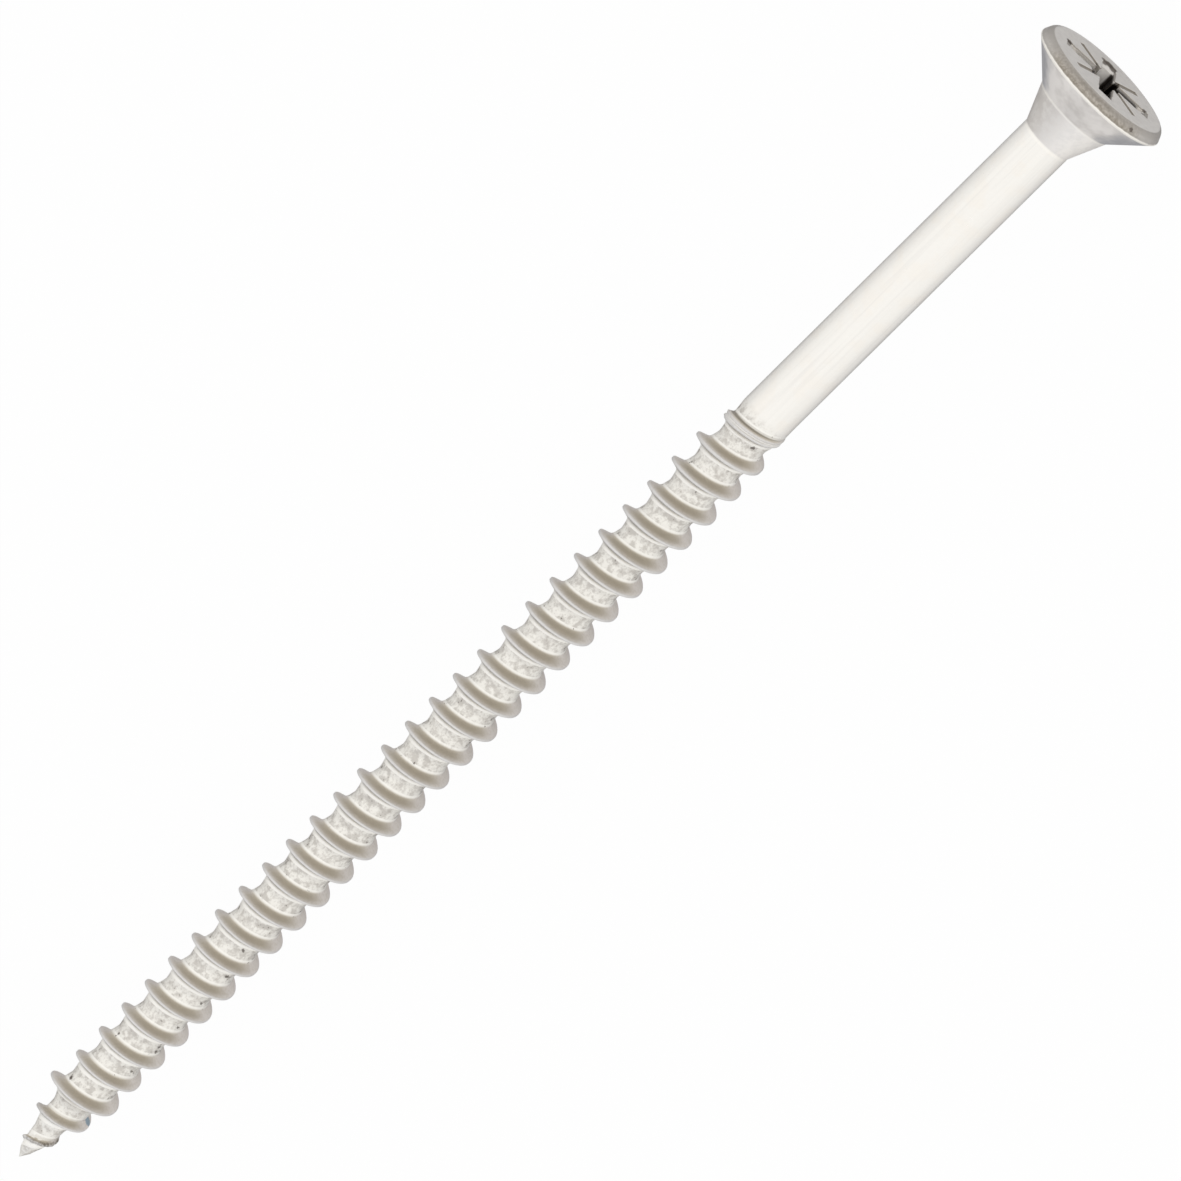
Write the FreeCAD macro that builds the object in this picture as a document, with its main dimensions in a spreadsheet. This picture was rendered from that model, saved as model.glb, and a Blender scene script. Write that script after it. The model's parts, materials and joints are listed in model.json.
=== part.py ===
import FreeCAD, Part
import math
import os
import Sketcher
from FreeCAD import Placement, Rotation, Vector

# A countersunk wood screw, 5 x 100 mm, made in one piece from headed and rolled wire.
# It is drawn along X, with its point at the origin and its head at +X, and is then laid
# down on the rim of its head and on its thread, as it comes to rest on a bench.

doc = FreeCAD.newDocument("CountersunkWoodScrew")

DRIVING_SIZES = [
    ("overallLength", 100.0, "point to the flat of the head"),
    ("headDia", 9.85, "largest diameter, at the lower edge of the rim"),
    ("rimHeight", 0.56, "tapered rim between the flat and the countersink"),
    ("rimTaper", 0.305, "how far the rim draws in to the flat"),
    ("coneAngle", 90.0, "included angle of the countersink"),
    ("neckDia", 5.55, "where the countersink meets the strengthened neck"),
    ("neckLength", 2.45, "conical neck under the countersink"),
    ("neckFillet", 0.35, "hollow corner from the neck to the shank"),
    ("coneFillet", 0.2, "hollow corner from the countersink to the neck"),
    ("faceRound", 0.14, "rounded edge of the flat"),
    ("rimRound", 0.07, "tight lower edge of the rim"),
    ("shankDia", 3.5, "plain shank"),
    ("rootDia", 3.0, "core of the thread"),
    ("crestDia", 4.68, "outside of the thread"),
    ("pitch", 2.232, "one start, right hand"),
    ("threadedLength", 69.7, "point to the start of the plain shank"),
    ("rootRise", 1.7, "length over which the core grows to the shank"),
    ("tipLength", 1.3, "steep end of the point"),
    ("tipDia", 1.2, "where the steep end meets the long taper"),
    ("waistPlace", 3.9, "bend in the long taper, from the point"),
    ("waistDia", 1.94, "core at that bend"),
    ("taperLength", 6.4, "point to the full core"),
    ("threadStart", 1.27, "where the crest leaves the point, on the +Y side"),
    ("startCrestDia", 1.0, "crest at its start, just inside the point"),
    ("crestFull", 5.8, "where the crest reaches its full diameter"),
    ("runOutLength", 3.3, "length over which the crest sinks into the shank"),
    ("runOutSink", 0.07, "depth of the crest's end below the shank"),
    ("crestLand", 0.14, "width of the crest"),
    ("runOutLand", 0.42, "width of the unfinished crest at its end"),
    ("flankAngle", 20.0, "each flank from a plane across the axis"),
    ("recessAngle", 9.5, "turn of the cross from the +Y side"),
    ("recessDepth", 2.7, "depth of the cross recess, type Z, size 2"),
    ("wingSpan", 5.1, "across two wings at the flat"),
    ("wingWidth", 1.06, "one wing at the flat"),
    ("wingFloorSpan", 4.1, "across two wings at the floor"),
    ("wingFloorWidth", 0.86, "one wing at the floor"),
    ("leadSpan", 6.7, "across the shallow ends of two wings"),
    ("leadDepth", 0.24, "depth of the shallow ends where they meet the wings"),
    ("ribSpan", 3.1, "across two corner ribs at the flat"),
    ("ribWidth", 0.46, "one corner rib at the flat"),
    ("ribFloorSpan", 2.1, "across two corner ribs at the floor"),
    ("ribFloorWidth", 0.36, "one corner rib at the floor"),
    ("middleDia", 2.3, "middle of the recess at the flat"),
    ("middleFloorDia", 1.5, "middle of the recess at the floor"),
    ("tickSpan", 6.6, "across two of the radial marks"),
    ("tickWidth", 0.2, "one radial mark"),
    ("tickDepth", 0.14, "depth of a radial mark"),
]

# Half section of the blank: each corner by its place along the axis and its radius.
COUNTERSINK = "(Sizes.headDia - Sizes.neckDia) / 2 / tan(Sizes.coneAngle / 2)"
BLANK_CORNERS = [
    ("tipEnd", "Sizes.tipLength", "Sizes.tipDia / 2"),
    ("waist", "Sizes.waistPlace", "Sizes.waistDia / 2"),
    ("rootStart", "Sizes.taperLength", "Sizes.rootDia / 2"),
    ("rootEnd", "Sizes.threadedLength - Sizes.rootRise", "Sizes.rootDia / 2"),
    ("shankStart", "Sizes.threadedLength", "Sizes.shankDia / 2"),
    ("neckStart", "Sizes.overallLength - Sizes.rimHeight - " + COUNTERSINK + " - Sizes.neckLength",
     "Sizes.shankDia / 2"),
    ("coneStart", "Sizes.overallLength - Sizes.rimHeight - " + COUNTERSINK, "Sizes.neckDia / 2"),
    ("rimEdge", "Sizes.overallLength - Sizes.rimHeight", "Sizes.headDia / 2"),
    ("faceEdge", "Sizes.overallLength", "Sizes.headDia / 2 - Sizes.rimTaper"),
]

# How finely the helix is drawn, how deep the thread is rooted in the core,
# and how far the recess tools stand out of the flat.
POINTS_PER_TURN = 12
THREAD_EMBED = 0.2
TOOL_REACH = 0.5


def makeSheet(rows):
    sheet = doc.addObject("Spreadsheet::Sheet", "Sizes")
    for number, (alias, size, note) in enumerate(rows, start=1):
        sheet.set("A%d" % number, alias)
        sheet.set("B%d" % number, str(size))
        sheet.set("C%d" % number, note)
        sheet.setAlias("B%d" % number, alias)
    doc.recompute()
    return sheet


def bind(item, formulas):
    for name, formula in formulas.items():
        item.setExpression(name, formula)


def worth(formula):
    found = sheet.evalExpression(formula.replace("Sizes.", ""))
    return float(getattr(found, "Value", found))


def drawBlank(body):
    """Sketch the half section on the body's own XY plane, closed along the axis."""
    sketch = body.newObject("Sketcher::SketchObject", "HalfSection")
    plane = next(item for item in body.Origin.OriginFeatures if item.Role == "XY_Plane")
    sketch.AttachmentSupport = [(plane, "")]
    sketch.MapMode = "FlatFace"
    places = [(worth(along), worth(radius)) for _, along, radius in BLANK_CORNERS]
    outline = [(0.0, 0.0)] + places + [(places[-1][0], 0.0)]
    corners = [Vector(along, radius, 0) for along, radius in outline]
    for start, end in zip(corners, corners[1:] + corners[:1]):
        sketch.addGeometry(Part.LineSegment(start, end), False)
    last = len(corners) - 1
    for line in range(last):
        sketch.addConstraint(Sketcher.Constraint("Coincident", line, 2, line + 1, 1))
    sketch.addConstraint(Sketcher.Constraint("Coincident", last, 2, 0, 1))
    sketch.addConstraint(Sketcher.Constraint("Coincident", 0, 1, -1, 1))
    sketch.addConstraint(Sketcher.Constraint("Horizontal", last))
    sketch.addConstraint(Sketcher.Constraint("Vertical", last - 1))
    for line, (name, along, radius) in enumerate(BLANK_CORNERS, start=1):
        for kind, formula in (("X", along), ("Y", radius)):
            place = worth(formula)
            number = sketch.addConstraint(
                Sketcher.Constraint("Distance" + kind, -1, 1, line, 1, place))
            sketch.renameConstraint(number, name + kind)
            sketch.setExpression("Constraints." + name + kind, formula)
    return sketch


def ringEdge(shape, along, radius):
    """Name of the round edge at this place and radius."""
    for number, edge in enumerate(shape.Edges, start=1):
        curve = edge.Curve
        if not isinstance(curve, Part.Circle):
            continue
        if abs(curve.Center.x - along) < 1e-4 and abs(curve.Radius - radius) < 1e-4:
            return "Edge%d" % number
    raise ValueError("no ring at %g, radius %g" % (along, radius))


def makeBlank():
    """Turn the half section and round its four rings under and on the head."""
    body = doc.addObject("PartDesign::Body", "Blank")
    sketch = drawBlank(body)
    turned = body.newObject("PartDesign::Revolution", "Turned")
    turned.Profile = sketch
    turned.ReferenceAxis = (sketch, ["H_Axis"])
    turned.Angle = 360.0
    sketch.Visibility = False
    doc.recompute()
    before = turned
    for corner, size in (("neckStart", "neckFillet"), ("coneStart", "coneFillet"),
                         ("rimEdge", "rimRound"), ("faceEdge", "faceRound")):
        place = [worth(formula) for _, *formulas in
                 (row for row in BLANK_CORNERS if row[0] == corner) for formula in formulas]
        rounded = body.newObject("PartDesign::Fillet", size[0].upper() + size[1:])
        rounded.Base = (before, [ringEdge(before.Shape, *place)])
        rounded.setExpression("Radius", "Sizes." + size)
        doc.recompute()
        before = rounded
    return body


def alongLine(points, place):
    """Height at a place of a line through points, level past its ends."""
    if place <= points[0][0]:
        return points[0][1]
    for (start, low), (end, high) in zip(points, points[1:]):
        if place <= end:
            return low + (high - low) * (place - start) / (end - start)
    return points[-1][1]


def threadCorners(size, blank, turn):
    """Section of the thread after so many turns: root, crest, crest and root."""
    place = size["threadStart"] + size["pitch"] * turn
    runOutStart = size["threadedLength"] - size["runOutLength"]
    crest = alongLine([(size["threadStart"], size["startCrestDia"] / 2),
                       (size["crestFull"], size["crestDia"] / 2),
                       (runOutStart, size["crestDia"] / 2),
                       (size["threadedLength"], size["shankDia"] / 2 - size["runOutSink"])], place)
    land = alongLine([(runOutStart, size["crestLand"]),
                      (size["threadedLength"], size["runOutLand"])], place)
    root = alongLine(blank, place - size["pitch"] / 4) - THREAD_EMBED
    rootHalf = land / 2 + (crest - root) * math.tan(math.radians(size["flankAngle"]))
    across = Rotation(Vector(1, 0, 0), 360 * turn)
    return [Vector(place + offset, 0, 0) + across.multVec(Vector(0, radius, 0))
            for offset, radius in ((-rootHalf, root), (-land / 2, crest),
                                   (land / 2, crest), (rootHalf, root))]


def makeThread(size, blank):
    """Right-hand ridge that starts in the point and runs out into the shank."""
    turns = (size["threadedLength"] - size["threadStart"]) / size["pitch"]
    spans = math.ceil(turns)
    steps = spans * POINTS_PER_TURN
    sections = [threadCorners(size, blank, turns * step / steps) for step in range(steps + 1)]
    faces = []
    for span in range(spans):
        first = span * POINTS_PER_TURN
        lines = []
        for corner in range(4):
            helix = Part.BSplineCurve()
            helix.interpolate([section[corner]
                               for section in sections[first:first + POINTS_PER_TURN + 1]])
            lines.append(helix.toShape())
        for one, other in zip(lines, lines[1:] + lines[:1]):
            faces.append(Part.makeRuledSurface(one, other))
    for section in (sections[0], sections[-1]):
        faces.append(Part.Face(Part.makePolygon(section + section[:1])))
    skin = Part.makeCompound(faces)
    skin.sewShape()
    ridge = Part.makeSolid(skin.Shells[0])
    if ridge.Volume < 0:
        ridge.reverse()
    thread = doc.addObject("Part::Feature", "Thread")
    thread.Shape = ridge
    return thread


def taperedBar(name, depth, mouth, floor, turn):
    """Bar through the middle of the recess: mouth and floor are each (span, width)."""
    bar = doc.addObject("Part::Wedge", name)
    formulas = {"Ymin": "-Sizes.%s" % depth, "Ymax": "%g" % TOOL_REACH,
                "Placement.Rotation.Angle": "Sizes.recessAngle + %g" % turn}
    for low, high, lowTop, highTop, top, bottom in (
            ("Xmin", "Xmax", "X2min", "X2max", mouth[0], floor[0]),
            ("Zmin", "Zmax", "Z2min", "Z2max", mouth[1], floor[1])):
        spread = "Sizes.%s / 2" % top
        ground = "Sizes.%s / 2" % bottom
        raised = "(%s + (%s - %s) * %g / Sizes.%s)" % (spread, spread, ground, TOOL_REACH, depth)
        formulas.update({low: "-" + ground, high: ground,
                         lowTop: "-" + raised, highTop: raised})
    bar.Placement = Placement(Vector(), Rotation(Vector(0, 1, 0), 1.0))
    bind(bar, formulas)
    return bar


def makeRecess():
    """Cross recess with corner ribs and radial marks, cut along Y from the flat at Y = 0."""
    tools = []
    for turn in (0, 90):
        tools.append(taperedBar("Wing%d" % turn, "recessDepth", ("wingSpan", "wingWidth"),
                                ("wingFloorSpan", "wingFloorWidth"), turn))
        tools.append(taperedBar("Lead%d" % turn, "leadDepth", ("leadSpan", "wingWidth"),
                                ("wingSpan", "wingWidth"), turn))
        tools.append(taperedBar("Rib%d" % turn, "recessDepth", ("ribSpan", "ribWidth"),
                                ("ribFloorSpan", "ribFloorWidth"), turn + 45))
        tools.append(taperedBar("Tick%d" % turn, "tickDepth", ("tickSpan", "tickWidth"),
                                ("tickSpan", "tickWidth"), turn + 45))
    middle = doc.addObject("Part::Cone", "Middle")
    middle.Placement = Placement(Vector(), Rotation(Vector(1, 0, 0), -90))
    bind(middle, {"Radius1": "Sizes.middleFloorDia / 2", "Radius2": "Sizes.middleDia / 2",
                  "Height": "Sizes.recessDepth", "Placement.Base.y": "-Sizes.recessDepth"})
    recess = doc.addObject("Part::MultiFuse", "Recess")
    recess.Shapes = tools + [middle]
    recess.Placement = Placement(Vector(), Rotation(Vector(0, 0, 1), -90))
    recess.setExpression("Placement.Base.x", "Sizes.overallLength")
    return recess


def layDown(screw, size):
    """Tip the screw until the rim and the first full crest under it meet the bench."""
    underside = 0.75
    turn = underside + math.ceil((size["crestFull"] - size["threadStart"]) / size["pitch"] - underside)
    seat = size["threadStart"] + size["pitch"] * turn
    rim = size["overallLength"] - size["rimHeight"]
    drop = (size["headDia"] - size["crestDia"]) / 2
    tilt = Rotation(Vector(0, 1, 0), -math.degrees(math.atan2(drop, rim - seat)))
    screw.Placement = Placement(Vector(), tilt)
    doc.recompute()
    box = screw.Shape.optimalBoundingBox(False, False)
    screw.Placement = Placement(Vector(-box.Center.x, -box.Center.y, -box.ZMin), tilt)


sheet = makeSheet(DRIVING_SIZES)
size = {alias: worth(alias) for alias, _, _ in DRIVING_SIZES}
blank = [(0.0, 0.0)] + [(worth(along), worth(radius)) for _, along, radius in BLANK_CORNERS[:5]]

formed = doc.addObject("Part::Fuse", "Formed")
formed.Base = makeBlank()
formed.Tool = makeThread(size, blank)
woodScrew = doc.addObject("Part::Cut", "WoodScrew")
woodScrew.Label = "wood_screw"
woodScrew.Base = formed
woodScrew.Tool = makeRecess()
doc.recompute()
layDown(woodScrew, size)
doc.recompute()

failed = [item.Label for item in doc.Objects if {"Invalid", "Error"} & set(item.State)]
if failed:
    raise RuntimeError("these objects failed: " + ", ".join(failed))
if woodScrew.Shape.isNull() or not woodScrew.Shape.isValid():
    raise RuntimeError("the screw's shape is not sound")
if len(woodScrew.Shape.Solids) != 1:
    raise RuntimeError("the screw is not one solid")

os.makedirs("parts", exist_ok=True)
woodScrew.Shape.exportStep("parts/%s.step" % woodScrew.Label)
print("%s: %.1f mm3" % (woodScrew.Label, woodScrew.Shape.Volume))
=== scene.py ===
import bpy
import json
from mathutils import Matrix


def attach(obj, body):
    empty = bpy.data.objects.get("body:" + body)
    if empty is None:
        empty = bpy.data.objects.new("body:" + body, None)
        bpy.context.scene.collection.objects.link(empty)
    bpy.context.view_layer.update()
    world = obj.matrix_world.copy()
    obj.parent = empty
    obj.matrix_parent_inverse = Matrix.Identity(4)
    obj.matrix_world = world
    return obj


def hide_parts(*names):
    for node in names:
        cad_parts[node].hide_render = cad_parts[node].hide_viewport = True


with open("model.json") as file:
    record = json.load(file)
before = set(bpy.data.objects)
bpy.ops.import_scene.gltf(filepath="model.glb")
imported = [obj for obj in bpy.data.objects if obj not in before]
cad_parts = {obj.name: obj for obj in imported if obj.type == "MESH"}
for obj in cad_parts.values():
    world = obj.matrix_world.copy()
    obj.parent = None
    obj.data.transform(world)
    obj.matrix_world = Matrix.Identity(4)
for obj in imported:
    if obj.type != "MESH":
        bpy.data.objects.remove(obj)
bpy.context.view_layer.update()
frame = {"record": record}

import json
import math

import bmesh
import bpy
from mathutils import Matrix, Vector, noise

# The screw is shaped in millimetres along X, its point at 0 and the flat of its head at 100,
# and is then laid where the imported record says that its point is.
mounts = {mount["name"]: mount for mount in frame["record"]["mounts"]}
millimetre = 0.001
screwPoint = Vector(mounts["wood_thread"]["pos_m"])
alongScrew = -Vector(mounts["wood_thread"]["axis"]).normalized()
acrossScrew = Vector((0, 1, 0))
aboveScrew = alongScrew.cross(acrossScrew)

thread = {
    "columns": 80,
    "pitch": 2.232,
    "start": 1.27,            # where the crest leaves the point, on the +Y side
    "end": 69.7,
    "headFlank": 24,          # flank angles and hollow corners towards the head and the point
    "tipFlank": 21,
    "headHollow": 0.3,
    "tipHollow": 0.26,
    "crestRound": 0.045,
    "dish": 0.13,             # rise of the core from mid gap to the flanks
    "wander": 0.016,          # unevenness of the rolled crest
    "wanderPerTurn": 3.1,
    "burr": 0.09,             # torn crest on the point
    "burrPerTurn": 19,
    # radius of the crest, width of its flat and radius of the core, each with its place
    "crest": [(1.27, 0.76), (1.83, 0.92), (2.4, 1.08), (2.8, 1.32), (3.05, 1.27), (3.4, 1.55),
              (4.7, 1.82), (5.3, 2.2), (5.73, 2.37), (6.85, 2.31), (7.97, 2.18), (9.08, 2.22),
              (10.2, 2.22), (11.3, 2.26), (14, 2.29), (59, 2.33), (66.1, 2.33), (67.2, 2.18),
              (68.4, 1.95), (69.3, 1.86), (70, 1.68)],
    "land": [(5.8, 0.15), (66.1, 0.17), (67.6, 0.3), (68.4, 0.54), (70, 0.5)],
    "core": [(0, 0), (0.69, 0.38), (1.38, 0.6), (2.06, 0.72), (3.09, 0.88), (3.92, 0.95), (4.81, 1.13),
             (6.4, 1.47), (14, 1.48), (59, 1.44), (68, 1.46), (69.5, 1.73), (69.8, 1.75)],
    "unfinished": [(66.8, 0), (68, 1), (69, 1), (69.7, 0)],
    "seamDepth": 0.09,        # groove in the unfinished crest
    "seamWidth": 0.07,
    "straightFrom": 0.9,      # straight rings below and above these places
    "straightTo": 70.4,
}


def alongLine(points, place):
    if place <= points[0][0]:
        return points[0][1]
    for (start, low), (end, high) in zip(points, points[1:]):
        if place <= end:
            return low + (high - low) * (place - start) / (end - start)
    return points[-1][1]


def ridgeHeight(offset, crest, core, land):
    # Height of the ridge's section at this distance from the middle of its crest
    side = "head" if offset > 0 else "tip"
    lean = math.radians(thread[side + "Flank"])
    turn = math.tan((math.pi / 2 - lean) / 2)
    away = abs(offset)
    edge = land / 2 - thread["crestRound"] * turn
    if away <= edge:
        return crest
    if away <= edge + thread["crestRound"] * math.cos(lean):
        return crest - thread["crestRound"] + math.sqrt(thread["crestRound"] ** 2 - (away - edge) ** 2)
    fromGap = min(max(thread["pitch"] / 2 - away, 0) / 0.6, 1)
    core += thread["dish"] * fromGap ** 1.3 * min(crest - core, 0.85) / 0.85
    hollow = min(thread[side + "Hollow"], 0.75 * (crest - core))
    foot = land / 2 + (crest - core) * math.tan(lean) + hollow * turn
    if away >= foot:
        return core
    if away >= foot - hollow * math.cos(lean):
        return core + hollow - math.sqrt(hollow ** 2 - (foot - away) ** 2)
    return crest - (away - land / 2) / math.tan(lean)


def threadAt(place, angle):
    # Radius here, its share of the ridge's height, and the offset from the crest
    core = alongLine(thread["core"], place)
    share = angle / (2 * math.pi)
    turns = round((place - thread["start"]) / thread["pitch"] - share) + share
    crestPlace = thread["start"] + thread["pitch"] * turns
    crest = alongLine(thread["crest"], crestPlace)
    if turns < 0 or crest <= core or crestPlace > thread["end"] + 0.3:
        return core, 0, 1
    crest += thread["wander"] * noise.noise(Vector((thread["wanderPerTurn"] * turns, 0.4, 7.7)))
    torn = noise.noise(Vector((thread["burrPerTurn"] * turns, 5.2, 1.3)))
    crest += thread["burr"] * max(0, 1.6 - turns) * torn
    land = alongLine(thread["land"], crestPlace)
    offset = place - crestPlace
    radius = ridgeHeight(offset, crest, core, land)
    unfinished = alongLine(thread["unfinished"], crestPlace)
    seam = thread["seamDepth"] * unfinished * math.exp(-(offset / thread["seamWidth"]) ** 2)
    radius = max(radius - seam, core)
    return radius, (radius - core) / max(crest - core, 0.12), offset


def sectionRows():
    # Offsets of the helical rows from the crest, close together where the section bends
    edge = thread["land"][0][1] / 2
    halfPitch = thread["pitch"] / 2
    rows = [halfPitch]
    for name, side in (("head", 1), ("tip", -1)):
        lean = math.radians(thread[name + "Flank"])
        hollow = thread[name + "Hollow"]
        foot = edge + 0.75 * math.tan(lean) + hollow * math.tan((math.pi / 2 - lean) / 2)
        bend = foot - hollow * math.cos(lean)
        half = [0.4 * edge, 0.85 * edge, 1.3 * edge, edge + 0.5 * (bend - edge), bend]
        half += [bend + (foot - bend) * share for share in (0.2, 0.42, 0.7, 1)]
        half += [foot + (halfPitch - foot) * share for share in (0.35, 0.7)]
        rows += [side * offset for offset in half]
    return sorted(rows)


class Shell:
    # Points by column and place, so that rows that meet share them. The ridge attribute keeps
    # for the colours how high on the ridge each point is and how far from its crest.
    def __init__(self):
        self.points = []
        self.ridge = []
        self.faces = []
        self.known = {}

    def point(self, column, place, radius=None):
        column %= thread["columns"]
        key = (column, round(place, 5), radius)
        if key not in self.known:
            angle = 2 * math.pi * column / thread["columns"]
            reach, share, offset = threadAt(place, angle) if radius is None else (radius, 0, 1)
            self.known[key] = len(self.points)
            self.points.append((place, reach * math.cos(angle), reach * math.sin(angle)))
            self.ridge.append((share, offset, abs(offset)))
        return self.known[key]

    def ring(self, place, radius=None):
        return [self.point(column, place, radius) for column in range(thread["columns"])]

    def face(self, *corners):
        corners = list(dict.fromkeys(corners))
        if len(corners) > 2:
            self.faces.append(corners)

    def stitch(self, lower, upper):
        for column in range(thread["columns"]):
            after = (column + 1) % thread["columns"]
            self.face(lower[column], lower[after], upper[after], upper[column])

    def mesh(self, name):
        made = bpy.data.meshes.new(name)
        made.from_pydata(self.points, [], self.faces)
        ridge = made.attributes.new("ridge", "FLOAT_VECTOR", "POINT")
        for item, values in zip(ridge.data, self.ridge):
            item.vector = values
        return made


def shapeThread():
    shell = Shell()
    columns = thread["columns"]
    rows = sectionRows()
    low, high = thread["straightFrom"], thread["straightTo"]

    def helixPoint(row, column):
        turn, step = divmod(row, len(rows))
        place = thread["start"] + thread["pitch"] * (turn + column / columns) + rows[step]
        return shell.point(column, min(max(place, low), high))

    firstTurn = math.floor((low - thread["start"]) / thread["pitch"]) - 2
    lastTurn = math.ceil((high - thread["start"]) / thread["pitch"]) + 1
    for row in range(firstTurn * len(rows), lastTurn * len(rows)):
        for column in range(columns):
            shell.face(helixPoint(row, column), helixPoint(row, column + 1),
                       helixPoint(row + 1, column + 1), helixPoint(row + 1, column))
    pointRings = [shell.ring(place) for place in (0.03, 0.12, 0.3, 0.5, 0.69, low)]
    for lower, upper in zip(pointRings, pointRings[1:]):
        shell.stitch(lower, upper)
    tip = len(shell.points)
    shell.points.append((0, 0, 0))
    shell.ridge.append((0, 1, 1))
    for column in range(columns):
        shell.face(tip, pointRings[0][(column + 1) % columns], pointRings[0][column])
    return shell


head = {
    "length": 100.12,
    "shankRadius": 1.75,
    "cutFrom": 92.0,          # the head is made apart from here, for its recess
    "neckRadius": 2.775,
    "neckLength": 2.45,
    "neckHollow": 0.35,
    "coneHollow": 0.12,
    "rimRadius": 4.925,
    "rimHeight": 0.68,
    "rimTaper": 0.305,
    "rimRound": 0.11,
    "flatRound": 0.45,
}
rimPlace = head["length"] - head["rimHeight"]
seatPlace = rimPlace - (head["rimRadius"] - head["neckRadius"])
neckPlace = seatPlace - head["neckLength"]


def roundedLine(corners, steps=5):
    # Line through (place, radius, rounding) corners, with arcs in the rounded ones
    line = []
    for number, (place, radius, rounding) in enumerate(corners):
        here = Vector((place, radius))
        if not rounding:
            line.append(here)
            continue
        before = (Vector(corners[number - 1][:2]) - here).normalized()
        after = (Vector(corners[number + 1][:2]) - here).normalized()
        half = before.angle(after) / 2
        middle = here + (before + after).normalized() * (rounding / math.sin(half))
        start = here + before * (rounding / math.tan(half)) - middle
        end = here + after * (rounding / math.tan(half)) - middle
        sweep = math.pi - 2 * half
        for step in range(steps + 1):
            share = step / steps
            line.append(middle + (start * math.sin((1 - share) * sweep)
                                  + end * math.sin(share * sweep)) / math.sin(sweep))
    return line


def shapeHead():
    shell = Shell()
    shank, neck = head["shankRadius"], head["neckRadius"]
    flat = head["rimRadius"] - head["rimTaper"]
    corners = [(head["cutFrom"], shank, 0), (neckPlace - 1.34, shank, 0),
               (neckPlace, shank, head["neckHollow"]),
               (neckPlace + 0.5 * head["neckLength"], 0.5 * (shank + neck), 0),
               (seatPlace, neck, head["coneHollow"]),
               (seatPlace + 0.7, neck + 0.7, 0), (seatPlace + 1.4, neck + 1.4, 0),
               (rimPlace, head["rimRadius"], head["rimRound"]),
               (head["length"], flat, head["flatRound"]), (head["length"], flat - 0.3, 0)]
    rings = [shell.ring(place, radius) for place, radius in roundedLine(corners)]
    for lower, upper in zip(rings, rings[1:]):
        shell.stitch(lower, upper)
    inner = shell.ring(head["length"], flat - 0.4)
    shell.stitch(rings[-1], inner)
    shell.face(*inner)
    shell.face(*reversed(rings[0]))
    return shell.mesh("screwHead")


recess = {
    "turn": 9.5,              # of the wings, from the +Y side
    "wings": {"mouth": (5.1, 1.06), "floor": (4.1, 0.86), "depth": 2.7, "lip": 0.07},
    "leads": {"mouth": (6.7, 1.02), "floor": (5.1, 1.0), "depth": 0.24, "lip": 0.04},
    "ribs": {"mouth": (3.1, 0.46), "floor": (2.1, 0.36), "depth": 2.7, "lip": 0.04},
    "marks": {"mouth": (6.5, 0.4), "floor": (5.9, 0.14), "depth": 0.14, "lip": 0.04},
    "middle": {"mouth": 2.3, "floor": 1.5, "depth": 2.7, "lip": 0.04},
    "standOut": 0.4,          # how far the cutters reach past the flat
    "within": (3.5, 3.7),     # depth and radius that the whole recess lies in
}


def cutterBar(tools, mouth, floor, depth, turn):
    # Tapered bar across the recess, drawn on past the flat by the same slope
    reach = recess["standOut"]
    across = Matrix.Rotation(math.radians(recess["turn"] + turn), 3, "X")
    corners = []
    for height in (-depth, reach):
        share = -height / depth
        span, width = (top + (low - top) * share for top, low in zip(mouth, floor))
        for side, end in ((-1, -1), (1, -1), (1, 1), (-1, 1)):
            place = across @ Vector((0, side * span / 2, end * width / 2))
            corners.append(tools.verts.new(place + Vector((head["length"] + height, 0, 0))))
    low, high = corners[:4], corners[4:]
    tools.faces.new(low[::-1])
    tools.faces.new(high)
    for side in range(4):
        after = (side + 1) % 4
        tools.faces.new((low[side], low[after], high[after], high[side]))


def cutterCone(tools, mouth, floor, depth, sides=32):
    reach = recess["standOut"]
    levels = [(-depth, floor / 2), (reach, mouth / 2 + (mouth - floor) / 2 * reach / depth)]
    rings = []
    for height, radius in levels:
        rings.append([tools.verts.new((head["length"] + height,
                                       radius * math.cos(2 * math.pi * side / sides),
                                       radius * math.sin(2 * math.pi * side / sides)))
                      for side in range(sides)])
    centre = tools.verts.new((head["length"] - depth - 0.25 * floor, 0, 0))
    low, high = rings
    tools.faces.new(high)
    for side in range(sides):
        after = (side + 1) % sides
        tools.faces.new((low[side], low[after], high[after], high[side]))
        tools.faces.new((centre, low[after], low[side]))


def shapeRecess():
    tools = bmesh.new()
    for turn in (0, 90):
        for name, skew in (("wings", 0), ("leads", 0), ("ribs", 45), ("marks", 45)):
            form = recess[name]
            cutterBar(tools, form["mouth"], form["floor"], form["depth"], turn + skew)
            lip = form["lip"]
            wider = [size + 2 * lip for size in form["mouth"]]
            cutterBar(tools, wider, form["mouth"], lip, turn + skew)
    form = recess["middle"]
    cutterCone(tools, form["mouth"], form["floor"], form["depth"])
    made = bpy.data.meshes.new("recessTools")
    tools.to_mesh(made)
    tools.free()
    return made


def cutRecess(headMesh):
    blank = bpy.data.objects.new("headBlank", headMesh)
    tools = bpy.data.objects.new("recessTools", shapeRecess())
    for item in (blank, tools):
        bpy.context.collection.objects.link(item)
    cut = blank.modifiers.new("recess", "BOOLEAN")
    cut.operation = "DIFFERENCE"
    cut.solver = "EXACT"
    cut.use_self = True
    cut.object = tools
    made = bpy.data.meshes.new_from_object(blank.evaluated_get(bpy.context.evaluated_depsgraph_get()))
    for item in (blank, tools):
        bpy.data.objects.remove(item)
    return made


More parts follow.
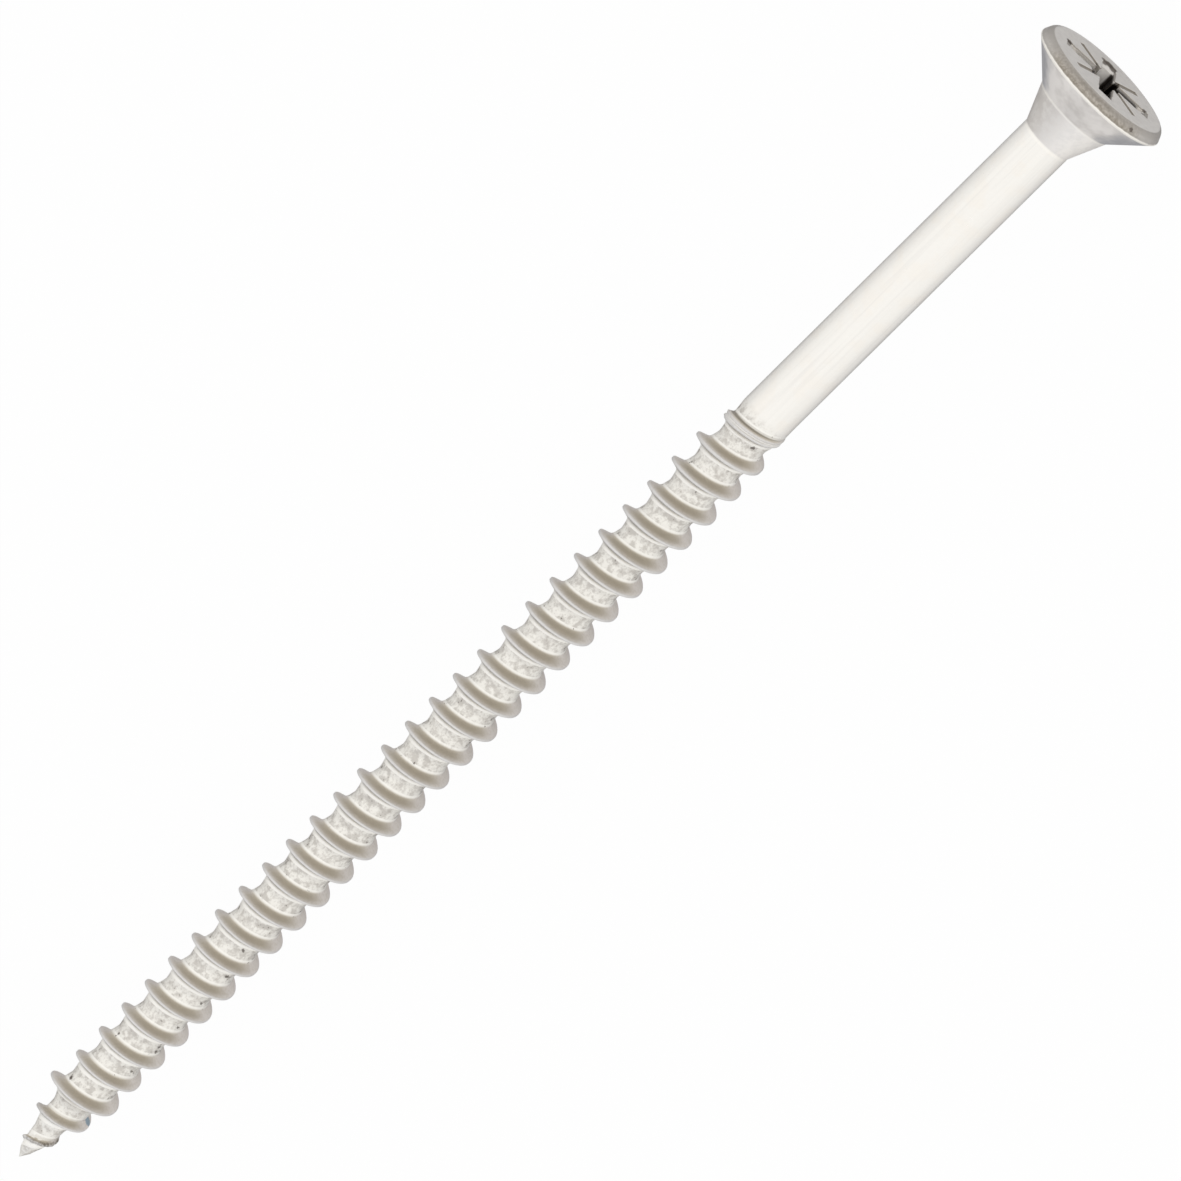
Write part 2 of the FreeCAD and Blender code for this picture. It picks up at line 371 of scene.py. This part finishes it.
def shapeScrew():
    shell = shapeThread()
    places = [thread["straightTo"] + share * (head["cutFrom"] - thread["straightTo"])
              for share in (0, 0.02, 0.2, 0.4, 0.6, 0.8, 1)]
    rings = [shell.ring(place) for place in places]
    for lower, upper in zip(rings, rings[1:]):
        shell.stitch(lower, upper)
    joined = bmesh.new()
    joined.from_mesh(shell.mesh("screwBody"))
    joined.from_mesh(cutRecess(shapeHead()))
    joined.faces.ensure_lookup_table()
    nearJoin = [point for point in joined.verts if abs(point.co.x - head["cutFrom"]) < 1e-4]
    cap = [face for face in joined.faces
           if all(abs(point.co.x - head["cutFrom"]) < 1e-4 for point in face.verts)]
    bmesh.ops.delete(joined, geom=cap, context="FACES_ONLY")
    bmesh.ops.remove_doubles(joined, verts=nearJoin, dist=1e-3)
    for face in joined.faces:
        face.smooth = True
    deepest, widest = recess["within"]
    for edge in joined.edges:
        ends = [point.co for point in edge.verts]
        inRecess = all(end.x > head["length"] - deepest and end.yz.length < widest for end in ends)
        if inRecess and edge.calc_face_angle(0) > math.radians(9):
            edge.smooth = False
    made = bpy.data.meshes.new("woodScrew")
    joined.to_mesh(made)
    joined.free()
    lay = Matrix((alongScrew, acrossScrew, aboveScrew)).transposed().to_4x4()
    made.transform(Matrix.Translation(screwPoint) @ lay @ Matrix.Scale(millimetre, 4))
    return made


class Wire:
    # A node's output. Sums on wires and numbers add Math nodes to its tree.
    def __init__(self, socket):
        self.socket = socket
        self.tree = socket.id_data

    def __add__(self, other):
        return maths("ADD", self, other)

    def __radd__(self, other):
        return maths("ADD", other, self)

    def __sub__(self, other):
        return maths("SUBTRACT", self, other)

    def __rsub__(self, other):
        return maths("SUBTRACT", other, self)

    def __mul__(self, other):
        return maths("MULTIPLY", self, other)

    def __rmul__(self, other):
        return maths("MULTIPLY", other, self)

    def __truediv__(self, other):
        return maths("DIVIDE", self, other)

    def __pow__(self, other):
        return maths("POWER", self, other)

    def part(self, low, high):
        # 0 below low and 1 above high, or the other way round where low is the larger
        return addNode(self.tree, "ShaderNodeMapRange", {"interpolation_type": "SMOOTHSTEP"},
                       {"Value": self, "From Min": low, "From Max": high})


def addNode(tree, kind, settings=None, inputs=None, output=0):
    node = tree.nodes.new(kind)
    for name, value in (settings or {}).items():
        setattr(node, name, value)
    for name, value in (inputs or {}).items():
        if isinstance(value, Wire):
            tree.links.new(value.socket, node.inputs[name])
        else:
            node.inputs[name].default_value = value
    return Wire(node.outputs[output])


def maths(operation, *values):
    tree = next(value.tree for value in values if isinstance(value, Wire))
    return addNode(tree, "ShaderNodeMath", {"operation": operation}, dict(enumerate(values)))


def vectorMaths(operation, first, *others, output=0):
    inputs = {0: first}
    for number, value in enumerate(others, 1):
        inputs[number] = value if isinstance(value, Wire) else tuple(value)
    return addNode(first.tree, "ShaderNodeVectorMath", {"operation": operation}, inputs, output)


def combine(x, y, z):
    return addNode(x.tree, "ShaderNodeCombineXYZ", {}, {"X": x, "Y": y, "Z": z})


def speckle(points, scale, detail=2.0, rough=0.55):
    return addNode(points.tree, "ShaderNodeTexNoise", {},
                   {"Vector": points, "Scale": scale, "Detail": detail, "Roughness": rough})


def paint(amount, below, above):
    # The colour below, with this amount of the one above over it
    colours = [colour if isinstance(colour, Wire) else (*colour, 1) for colour in (below, above)]
    return addNode(amount.tree, "ShaderNodeMix", {"data_type": "RGBA"},
                   {"Factor": amount, 6: colours[0], 7: colours[1]}, 2)


def newMaterial(name):
    made = bpy.data.materials.new(name)
    made.use_nodes = True
    made.node_tree.nodes.clear()
    return made, made.node_tree


steel = {
    "grazing": (0.46, 0.465, 0.48),     # share of its colour that the steel keeps at a low angle
    "shank": (0.92, 0.90, 0.86),
    "streak": (0.80, 0.78, 0.75),
    "tint": (0.92, 0.88, 0.82),
    "root": (0.90, 0.88, 0.83),
    "rootBlotch": (0.58, 0.55, 0.51),
    # painted highlight, in the hollow corners of the core and low on the ridge's flank towards the point
    "hollow": (1.0, 0.98, 0.93),
    "headFlank": (0.79, 0.75, 0.72),
    # painted shade at the foot of the head-side flank, also its dark grain speckles
    "flankShadeAndSpeckle": (0.56, 0.51, 0.425),
    "tipFlank": (0.79, 0.78, 0.77),
    "crest": (0.74, 0.725, 0.71),
    "neck": (0.93, 0.90, 0.86),
    # painted shade on the neck, also dark mottling on the countersink and the flat
    "shadeAndMottle": (0.64, 0.61, 0.58),
    "cone": (0.88, 0.85, 0.82),
    # painted dark reflection at the countersink's sides
    "coneSideReflection": (0.36, 0.37, 0.405),
    "flat": (0.86, 0.835, 0.805),
    # painted shade on the rounded bevel round the flat
    "bevelShade": (0.47, 0.445, 0.415),
    # painted highlight along the rim's lower edge; also the pale lines at the neck and the seat
    "edge": (0.98, 0.95, 0.89),
    # painted shade on the rim
    "rim": (0.36, 0.325, 0.28),
    "rimLight": (0.60, 0.56, 0.51),
    "rimDark": (0.22, 0.19, 0.15),
    # painted light at the rim's sides
    "rimEnd": (0.60, 0.58, 0.56),
    "recess": (0.84, 0.81, 0.775),
    # painted light on the recess's arms
    "recessArmLight": (0.90, 0.87, 0.83),
    "recessLine": (0.22, 0.19, 0.155),
    # painted shadow at the recess's floor and -Y side
    "recessShadow": (0.05, 0.042, 0.035),
    # the pits' colour, also painted shade in spots round the recess wings
    "pitAndShade": (0.13, 0.11, 0.095),
    "burr": (0.20, 0.18, 0.15),
    "bluing": (0.25, 0.36, 0.45),
    "blotchesPerMillimetre": 1.9,
    "grainPerMillimetre": 5.5,
    "cloudsPerMillimetre": 0.8,
    "ragged": 0.25,           # how far the outlines of the clear pits wander, in millimetres
    "raggedPerMillimetre": 9.0,
    "heatMark": (4.95, -1.5, -0.4, 0.42),
}

# Clear pits, and at place 100.1 painted shade spots round the ends and sides of the recess wings: place,
# +Y and up from the screw's own axis, and size
spots = [
    (6.75, 1.25, 0.85, 0.16), (6.7, 1.2, 0.95, 0.14), (9.95, -1.2, 0.9, 0.14), (11.0, 1.05, 1.05, 0.15),
    (11.2, 1.05, 1.05, 0.13), (11.3, -0.1, 1.9, 0.15), (11.95, -1.35, 0.6, 0.17),
    (12.35, -1.35, 0.65, 0.16), (13.0, 1.25, 0.85, 0.13), (14.25, -1.3, 0.8, 0.14),
    (16.55, -1.25, 0.85, 0.13), (19.1, -1.15, 0.95, 0.17), (20.25, -0.5, 1.85, 0.15),
    (21.25, -0.7, 1.3, 0.15), (68.2, -0.75, 1.3, 0.2),
    (99.8, -3.2, 3.6, 0.2), (100.1, 3.25, 0.1, 0.3), (100.1, 1.95, 0.4, 0.17), (100.1, 1.0, 0.9, 0.22),
    (100.1, -1.5, 0.1, 0.4), (100.1, -2.95, -0.5, 0.2), (100.1, -2.95, -1.1, 0.2),
    (100.1, 0.2, -3.1, 0.36), (100.1, 0.9, -2.95, 0.36), (100.1, 0.55, -3.2, 0.36),
]


class Skin:
    # Where a place on the steel is, in millimetres, and how speckled it is there, all as wires
    def __init__(self, tree):
        whole = addNode(tree, "ShaderNodeTexCoord", output=3)
        fromPoint = vectorMaths("SUBTRACT", whole, screwPoint)
        ways = [way / millimetre for way in (alongScrew, acrossScrew, aboveScrew)]
        self.place, self.side, self.up = (vectorMaths("DOT_PRODUCT", fromPoint, way, output=1)
                                          for way in ways)
        self.radius = (self.side * self.side + self.up * self.up) ** 0.5
        self.sideways = maths("ABSOLUTE", self.side)
        self.aside = self.sideways / self.radius
        self.depth = head["length"] - self.place
        ridge = addNode(tree, "ShaderNodeAttribute", {"attribute_name": "ridge"}, output="Vector")
        parts = addNode(tree, "ShaderNodeSeparateXYZ", {}, {0: ridge}).socket.node
        self.share, self.offset, self.away = (Wire(parts.outputs[name]) for name in "XYZ")
        self.inThread = self.place.part(thread["end"] + 0.6, thread["end"] - 0.4)
        self.onRidge = self.share.part(0.12, 0.21) * self.inThread
        self.towardsHead = self.offset.part(0.02, 0.10)
        self.points = combine(self.place, self.side, self.up)
        self.blotch = speckle(self.points, steel["blotchesPerMillimetre"], 3.0, 0.6)
        self.grain = speckle(self.points, steel["grainPerMillimetre"])
        self.cloud = speckle(self.points, steel["cloudsPerMillimetre"])
        self.drawn = speckle(combine(self.place * 0.10, self.side * 4.0, self.up * 4.0), 1.0, 4.0, 0.6)

    def band(self, low, high, soft):
        # 1 between these two places along the screw
        return self.place.part(low, low + soft) * self.place.part(high, high - soft)


def shankColour(skin):
    # Drawn lengthwise
    colour = paint(skin.cloud.part(0.45, 0.65) * 0.6, steel["shank"], steel["tint"])
    return paint(skin.drawn.part(0.45, 0.75) * 0.4, colour, steel["streak"])


def coreColour(skin):
    # Mottled by the dies, with a painted highlight in the hollow corners, and pits that are thicker at
    # the sides
    colour = paint(skin.blotch.part(0.42, 0.64) * 0.8, steel["root"], steel["rootBlotch"])
    colour = paint(skin.grain.part(0.52, 0.62) * 0.35, colour, steel["rootBlotch"])
    # Painted highlight in the hollow corners
    cornerHighlight = (skin.away - 0.1 * skin.towardsHead).part(0.62, 0.54)
    colour = paint(cornerHighlight * 0.9, colour, steel["hollow"])
    pits = (skin.blotch * 0.5 + skin.grain * 0.5 + skin.aside.part(0.72, 0.9) * 0.045).part(0.64, 0.68)
    return paint(pits * 0.8, colour, steel["pitAndShade"])


def paintRidge(skin, colour):
    # Flanks, with painted shade at the foot on the head's side that is deepest on their upper side, and
    # the crest between them
    # Painted shade: darker towards the foot of the head-side flank and on the flanks' upper side
    foot = skin.share.part(1.1, 0.5) * (0.15 + 0.85 * (skin.up / skin.radius).part(0.1, 0.8))
    headFlank = paint(foot, steel["headFlank"], steel["flankShadeAndSpeckle"])
    flank = paint(skin.towardsHead, steel["tipFlank"], headFlank)
    flank = paint(skin.grain.part(0.45, 0.65) * 0.2, flank, steel["flankShadeAndSpeckle"])
    colour = paint(skin.onRidge, colour, flank)
    colour = paint(skin.share.part(0.90, 0.97) * skin.inThread * 0.8, colour, steel["crest"])
    # Painted highlight low on the flank towards the point
    tipFootHighlight = skin.share.part(0.5, 0.3) * (1 - skin.towardsHead) * skin.away.part(0.66, 0.6)
    return paint(tipFootHighlight * skin.inThread * 0.8, colour, steel["hollow"])


def paintEnds(skin, colour):
    # The unfinished crest where the thread runs out, and the torn one on the point
    unfinished = skin.place.part(thread["end"] - 2.4, thread["end"] - 1.4) * skin.onRidge
    colour = paint(unfinished * (0.1 + 0.45 * skin.away.part(0.14, 0.05)), colour, steel["shank"])
    colour = paint(unfinished * skin.offset.part(0.28, 0.36) * 0.6, colour, steel["burr"])
    torn = skin.share.part(0.15, 0.7) * skin.place.part(4.4, 3.2)
    torn *= 0.35 + 0.65 * skin.grain.part(0.4, 0.6)
    return paint(torn * (0.35 + 0.5 * skin.side.part(0.5, -0.6)), colour, steel["burr"])


def paintHead(skin, colour):
    # Neck with painted shade towards its +Y side, countersink with a painted dark reflection at its
    # sides, and a pale line where each begins
    # Painted shade towards the neck's +Y side
    neckColour = paint(skin.side.part(-1.2, 1.6), steel["neck"], steel["shadeAndMottle"])
    neckColour = paint(skin.blotch.part(0.38, 0.66) * 0.5, neckColour, steel["streak"])
    colour = paint(skin.place.part(neckPlace - 0.09, neckPlace + 0.06), colour, neckColour)
    coneColour = paint(skin.cloud.part(0.4, 0.65) * 0.5, steel["cone"], steel["shadeAndMottle"])
    # Painted dark reflection at the countersink's sides, made cloudy
    sideReflection = (skin.aside + (skin.cloud - 0.5) * 0.3).part(0.56, 0.88)
    coneColour = paint(sideReflection * 0.65, coneColour, steel["coneSideReflection"])
    colour = paint(skin.place.part(seatPlace - 0.09, seatPlace + 0.06), colour, coneColour)
    lines = skin.band(neckPlace - 0.26, neckPlace + 0.06, 0.11)
    lines += skin.band(seatPlace - 0.17, seatPlace + 0.11, 0.09)
    return paint(lines * 0.5, colour, steel["edge"])


def paintRim(skin, colour):
    # Rim darkened as painted shade, paler at the sides as painted light, with a painted highlight along
    # the wavy edge below it
    # Painted shade on the rim, with lighter grain
    rimColour = paint(skin.grain.part(0.3, 0.72), steel["rim"], steel["rimLight"])
    low = skin.place.part(rimPlace + 0.31, rimPlace + 0.06) * (0.3 + 0.5 * skin.blotch)
    rimColour = paint(low, rimColour, steel["rimDark"])
    # Painted light at the rim's sides
    rimColour = paint((skin.sideways + skin.cloud).part(3.2, 4.8) * 0.7, rimColour, steel["rimEnd"])
    colour = paint(skin.place.part(rimPlace, rimPlace + 0.12), colour, rimColour)
    # Painted highlight along the edge below the rim
    lower = (skin.place + (skin.grain - 0.5) * 0.1).part(rimPlace - 0.16, rimPlace - 0.1)
    upper = (skin.place + (skin.blotch - 0.5) * 0.15).part(rimPlace + 0.12, rimPlace + 0.02)
    return paint(lower * upper, colour, steel["edge"])


def paintFlat(skin, colour):
    flatColour = paint(skin.blotch.part(0.4, 0.65) * 0.2, steel["flat"], steel["shadeAndMottle"])
    # Painted shade on the rounded bevel round the flat
    colour = paint(skin.depth.part(0.42, 0.2) * 0.6, colour, steel["bevelShade"])
    return paint(skin.depth.part(0.03, 0.0), colour, flatColour)


def paintRecess(skin, colour):
    # Inside the recess, darker along its lips and marks, with painted light on its arms and painted
    # shadow at its floor and on its -Y side
    coneTop = rimPlace - head["rimRadius"]
    inside = skin.radius.part(3.75, 3.6) * skin.depth.part(0.008, 0.03)
    inside *= (skin.place - skin.radius).part(coneTop + 0.185, coneTop + 0.285)
    # Painted light on the arms
    recessColour = paint(skin.sideways.part(1.0, 1.4), steel["recess"], steel["recessArmLight"])
    colour = paint(inside, colour, recessColour)
    colour = paint(inside * skin.depth.part(0.1, 0.06) * 0.6, colour, steel["recessLine"])
    turn = math.radians(recess["turn"])
    alongWing = skin.side * math.cos(turn) + skin.up * math.sin(turn)
    acrossWing = skin.up * math.cos(turn) - skin.side * math.sin(turn)
    fromMark = maths("ABSOLUTE", maths("ABSOLUTE", alongWing) - maths("ABSOLUTE", acrossWing))
    onMark = inside * fromMark.part(0.5, 0.35) * skin.radius.part(1.3, 1.6)
    colour = paint(onMark * 0.75, colour, steel["recessLine"])
    # Painted shadow on the recess's -Y side and at its floor
    shadedSide = skin.depth.part(0.05, 0.3) * skin.side.part(0.15, 0.0)
    floor = (skin.depth + skin.blotch * 0.3).part(1.2, 2.0)
    recessShadowMask = inside * maths("MAXIMUM", shadedSide, floor) * skin.radius.part(2.75, 2.5)
    return paint(recessShadowMask, colour, steel["recessShadow"])


def paintSpots(skin, colour):
    # The clear pits, painted shade spots in the recess, and a heat mark behind the second turn
    wander = speckle(skin.points, steel["raggedPerMillimetre"])
    ragged = vectorMaths("MULTIPLY_ADD", wander, [steel["ragged"]] * 3, skin.points)

    def near(spot):
        *centre, size = spot
        middle = [value + steel["ragged"] / 2 for value in centre]
        return vectorMaths("DISTANCE", ragged, middle, output=1).part(size, 0.55 * size)

    colour = paint(near(steel["heatMark"]) * 0.8, colour, steel["bluing"])
    for spot in spots:
        colour = paint(near(spot) * 0.85, colour, steel["pitAndShade"])
    return colour


def makeSteel():
    made, tree = newMaterial("stainlessSteel")
    skin = Skin(tree)
    colour = paint(skin.inThread, shankColour(skin), coreColour(skin))
    for layer in (paintRidge, paintEnds, paintHead, paintRim, paintFlat, paintRecess, paintSpots):
        colour = layer(skin, colour)
    rough = 0.32 + 0.12 * skin.inThread + 0.08 * skin.onRidge + (skin.grain - 0.5) * 0.2
    rough += 0.12 * skin.place.part(neckPlace - 0.14, neckPlace + 0.16)
    relief = skin.blotch * (0.25 + 0.75 * skin.inThread)
    relief += skin.grain * 0.5 + skin.drawn * 0.25 + skin.cloud * 0.3
    bump = addNode(tree, "ShaderNodeBump", {}, {"Strength": 0.45, "Distance": 0.00004, "Height": relief})
    shader = addNode(tree, "ShaderNodeBsdfPrincipled", {},
                     {"Base Color": colour, "Metallic": 1.0, "Roughness": rough, "Normal": bump,
                      "Specular Tint": (*steel["grazing"], 1)})
    output = tree.nodes.new("ShaderNodeOutputMaterial")
    tree.links.new(shader.socket, output.inputs["Surface"])
    return made


screwObject = bpy.data.objects.new("woodScrew", shapeScrew())
bpy.context.collection.objects.link(screwObject)
screwObject.data.materials.append(makeSteel())
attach(screwObject, "root")
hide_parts("wood_screw")
screwObject.data.calc_loop_triangles()
print("screw shaped:", len(screwObject.data.loop_triangles), "triangles")

bench = {
    "size": 6.0,
    "colour": (0.82, 0.82, 0.82),
    "whiteShare": 0.97,       # how far the seen bench is lifted to white over its shaded look
    "glossyShare": 0.5,       # the same in the steel
    "tent": (1.0, 0.995, 0.985),
    "tentHeadEnd": (0.58, 0.55, 0.51),
    "tentPointEnd": (0.84, 0.85, 0.88),
    "lampPower": 0.7,
    "lampSize": 2.4,
    "lampHeight": 0.9,
}


def whiteAmount(tree):
    # How white the bench is for rays that look at it: straight, in metal or through glass
    path = tree.nodes.new("ShaderNodeLightPath")
    straight, glossy, through = (Wire(path.outputs[name]) for name in
                                 ("Is Camera Ray", "Is Glossy Ray", "Is Transmission Ray"))
    mirrored = maths("MAXIMUM", glossy, through) * bench["glossyShare"]
    return maths("MAXIMUM", straight * bench["whiteShare"], mirrored)


def makeFloor():
    half = bench["size"] / 2
    made = bpy.data.meshes.new("benchTop")
    made.from_pydata([(-half, -half, 0), (half, -half, 0), (half, half, 0), (-half, half, 0)],
                     [], [(0, 1, 2, 3)])
    material, tree = newMaterial("whiteBench")
    paper = addNode(tree, "ShaderNodeBsdfDiffuse", {}, {"Color": (*bench["colour"], 1)})
    glow = addNode(tree, "ShaderNodeEmission", {}, {"Color": (1, 1, 1, 1), "Strength": 1.0})
    mixed = addNode(tree, "ShaderNodeMixShader", {}, {0: whiteAmount(tree), 1: paper, 2: glow})
    output = tree.nodes.new("ShaderNodeOutputMaterial")
    tree.links.new(mixed.socket, output.inputs["Surface"])
    made.materials.append(material)
    floor = bpy.data.objects.new("benchTop", made)
    bpy.context.collection.objects.link(floor)


def makeLight():
    world = bpy.data.worlds.new("lightTent")
    world.use_nodes = True
    world.node_tree.nodes.clear()
    tree = world.node_tree
    way = addNode(tree, "ShaderNodeTexCoord")
    lengthwise = addNode(tree, "ShaderNodeSeparateXYZ", {}, {0: way})
    cloth = paint(lengthwise.part(0.3, 0.85), bench["tent"], bench["tentHeadEnd"])
    cloth = paint(lengthwise.part(-0.4, -0.95), cloth, bench["tentPointEnd"])
    straight = addNode(tree, "ShaderNodeLightPath", output="Is Camera Ray")
    cloth = paint(straight, cloth, (1, 1, 1))
    tent = addNode(tree, "ShaderNodeBackground", {}, {"Color": cloth, "Strength": 1.0})
    output = tree.nodes.new("ShaderNodeOutputWorld")
    tree.links.new(tent.socket, output.inputs["Surface"])
    bpy.context.scene.world = world
    lamp = bpy.data.lights.new("softLamp", "AREA")
    lamp.energy = bench["lampPower"]
    lamp.size = bench["lampSize"]
    lampObject = bpy.data.objects.new("softLamp", lamp)
    lampObject.location = (-0.3 * bench["lampHeight"], 0.1, bench["lampHeight"])
    toScrew = -lampObject.location
    lampObject.rotation_mode = "QUATERNION"
    lampObject.rotation_quaternion = toScrew.to_track_quat("-Z", "Y")
    bpy.context.collection.objects.link(lampObject)


camera = {
    "lens": 286.3,
    "sensor": 36.0,
    "distance": 0.5831,
    "lean": 17.62,            # from square over the screw, towards its head
    "rise": 44.7,             # the screw in the picture, from level
    "aimPlace": 53.88,        # millimetres from the point
    "aimAside": -0.02,
}


def makeCamera():
    lean, rise = math.radians(camera["lean"]), math.radians(camera["rise"])
    back = alongScrew * math.sin(lean) + aboveScrew * math.cos(lean)
    seenAlong = alongScrew * math.cos(lean) - aboveScrew * math.sin(lean)
    right = seenAlong * math.cos(rise) - acrossScrew * math.sin(rise)
    upward = seenAlong * math.sin(rise) + acrossScrew * math.cos(rise)
    aim = screwPoint + millimetre * (alongScrew * camera["aimPlace"] - acrossScrew * camera["aimAside"])
    lensData = bpy.data.cameras.new("camera")
    lensData.lens = camera["lens"]
    lensData.sensor_width = camera["sensor"]
    lensData.clip_start = 0.01
    lensObject = bpy.data.objects.new("camera", lensData)
    turn = Matrix((right, upward, back)).transposed().to_4x4()
    lensObject.matrix_world = Matrix.Translation(aim + back * camera["distance"]) @ turn
    bpy.context.collection.objects.link(lensObject)
    bpy.context.scene.camera = lensObject


makeFloor()
makeLight()
makeCamera()
bpy.context.scene.view_settings.view_transform = "Standard"
print("bench, light and camera set")
